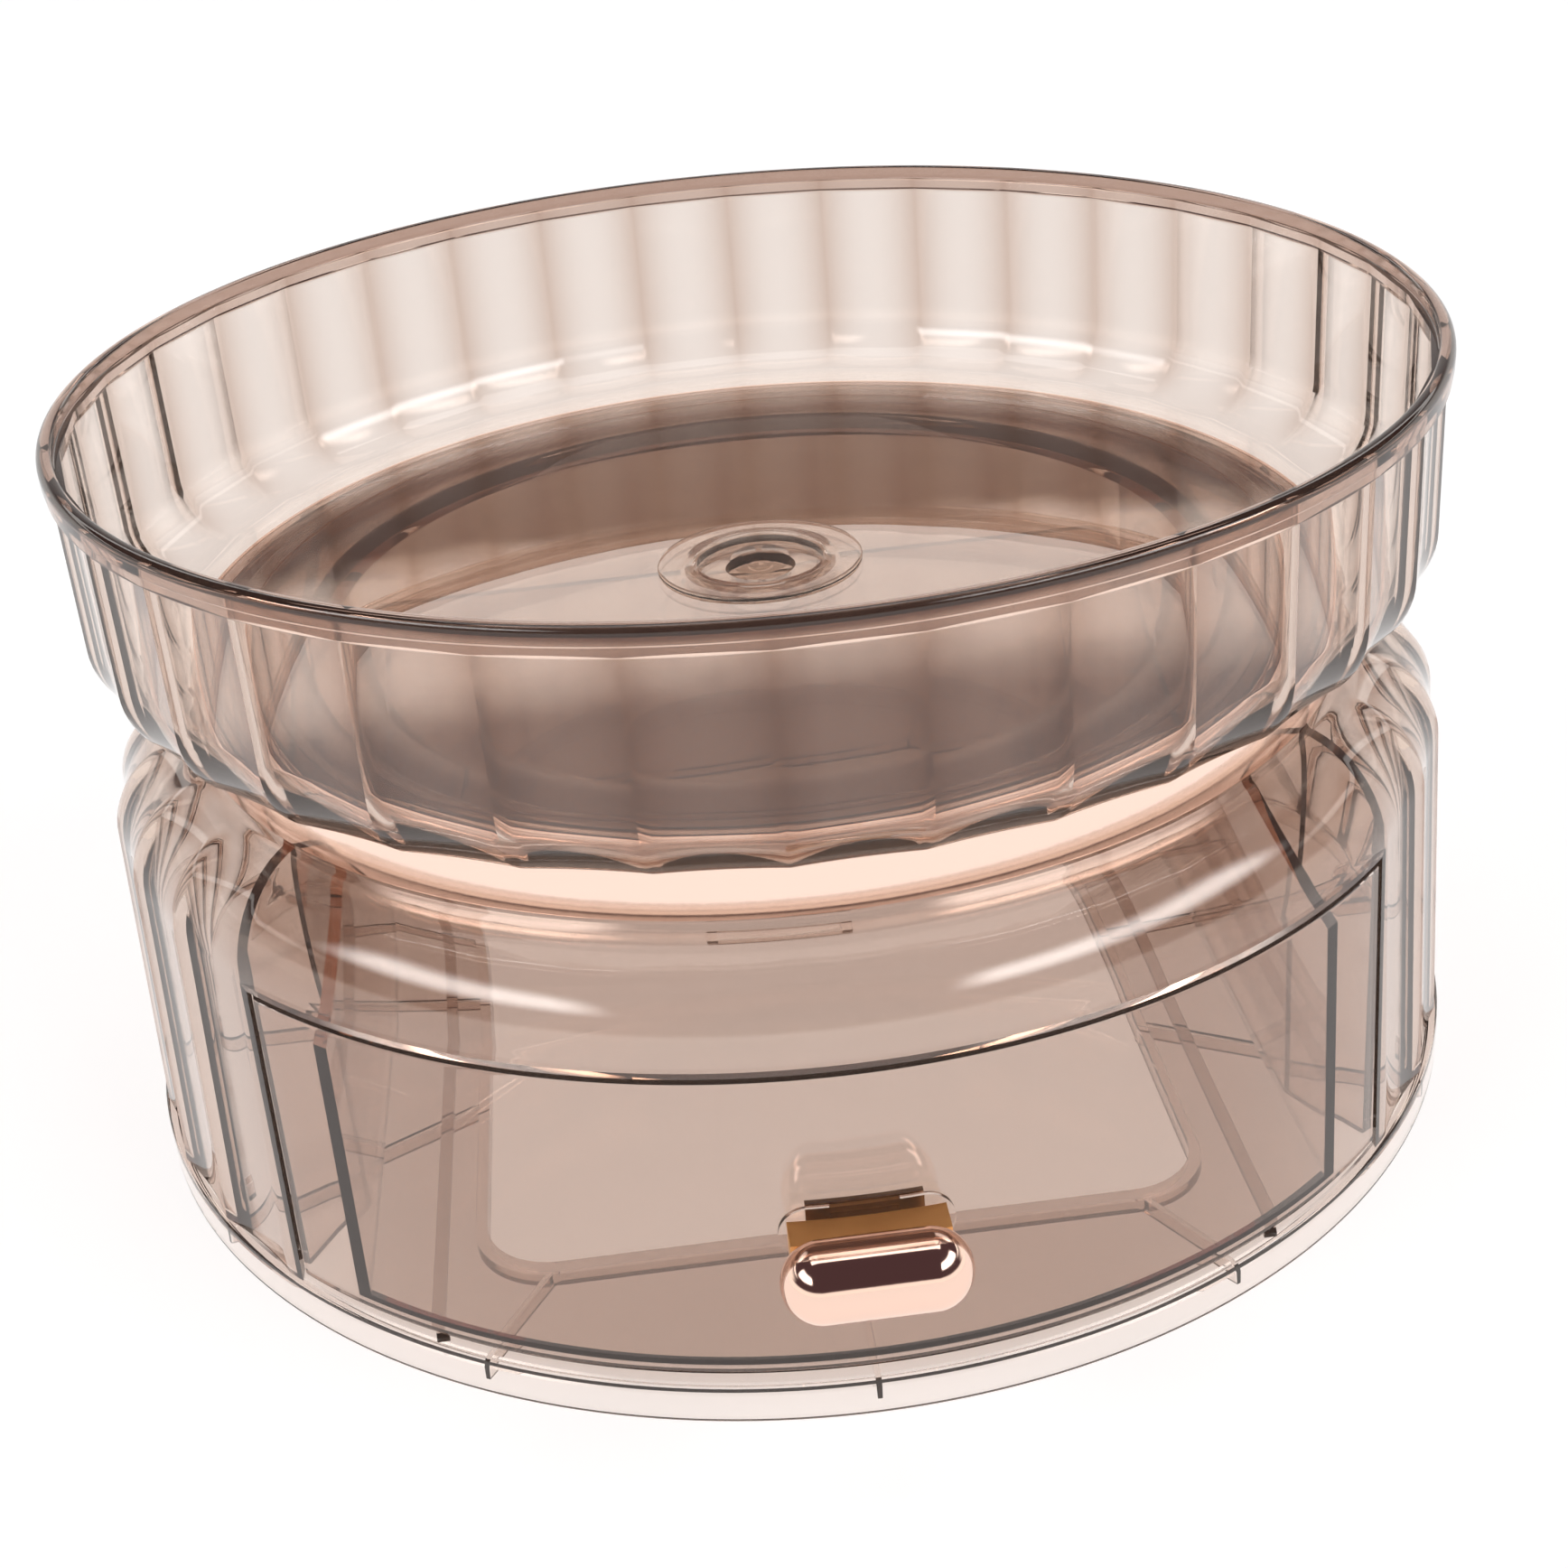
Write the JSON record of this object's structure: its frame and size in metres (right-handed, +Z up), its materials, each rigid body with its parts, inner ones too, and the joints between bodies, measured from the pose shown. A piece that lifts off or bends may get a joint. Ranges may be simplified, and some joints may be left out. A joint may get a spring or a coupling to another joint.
{
  "type": "rotating makeup organizer with drawer",
  "caption": "Round tinted clear vanity organizer: a fluted open tray turns on a drum case holding a wide curved drawer with a plated pull.",
  "frame": {"origin": "on the resting plane, on the tray's turning axis", "axes": "+Z up along the tray's axis, -Y out of the drawer's front, +X to the right seen from the front"},
  "size_m": [0.2348, 0.2499, 0.1286],
  "materials": {
    "tinted_clear_shell": "glossy tinted clear styrene",
    "tinted_clear_tray": "glossy tinted clear styrene",
    "tinted_clear_drawer": "glossy tinted clear styrene",
    "rose_plated_band": "bright rose gold plating",
    "rose_plated_pull": "bright rose gold plating",
    "clear_acetal": "clear acetal",
    "clear_nylon": "clear nylon",
    "steel": "zinc plated"
  },
  "bodies": {
    "case": {"case_shell": "tinted_clear_shell", "base_plate": "tinted_clear_shell", "bay_wall_left": "tinted_clear_shell", "bay_wall_right": "tinted_clear_shell", "runner_left": "tinted_clear_shell", "runner_right": "tinted_clear_shell", "neck_ring": "rose_plated_band", "track_ring": "tinted_clear_shell", "glide_ring": "clear_acetal", "pivot_post": "clear_nylon", "pivot_washer": "clear_nylon", "pivot_screw": "clear_nylon"},
    "tray_body": {"tray": "tinted_clear_tray", "hub_cap": "tinted_clear_tray"},
    "drawer": {"drawer_box": "tinted_clear_drawer", "pull_bar": "rose_plated_pull", "pull_stem": "rose_plated_pull", "pull_clip": "steel"}
  },
  "joints": [
    {"name": "tray_spin", "type": "hinge", "parent": "case", "child": "tray_body", "pos_m": [0, 0, 0.0875], "axis": [0, 0, 1], "continuous": true},
    {"name": "drawer_slide", "type": "slide", "parent": "case", "child": "drawer", "axis": [0, -1, 0], "range_m": [0, 0.12]}
  ]
}
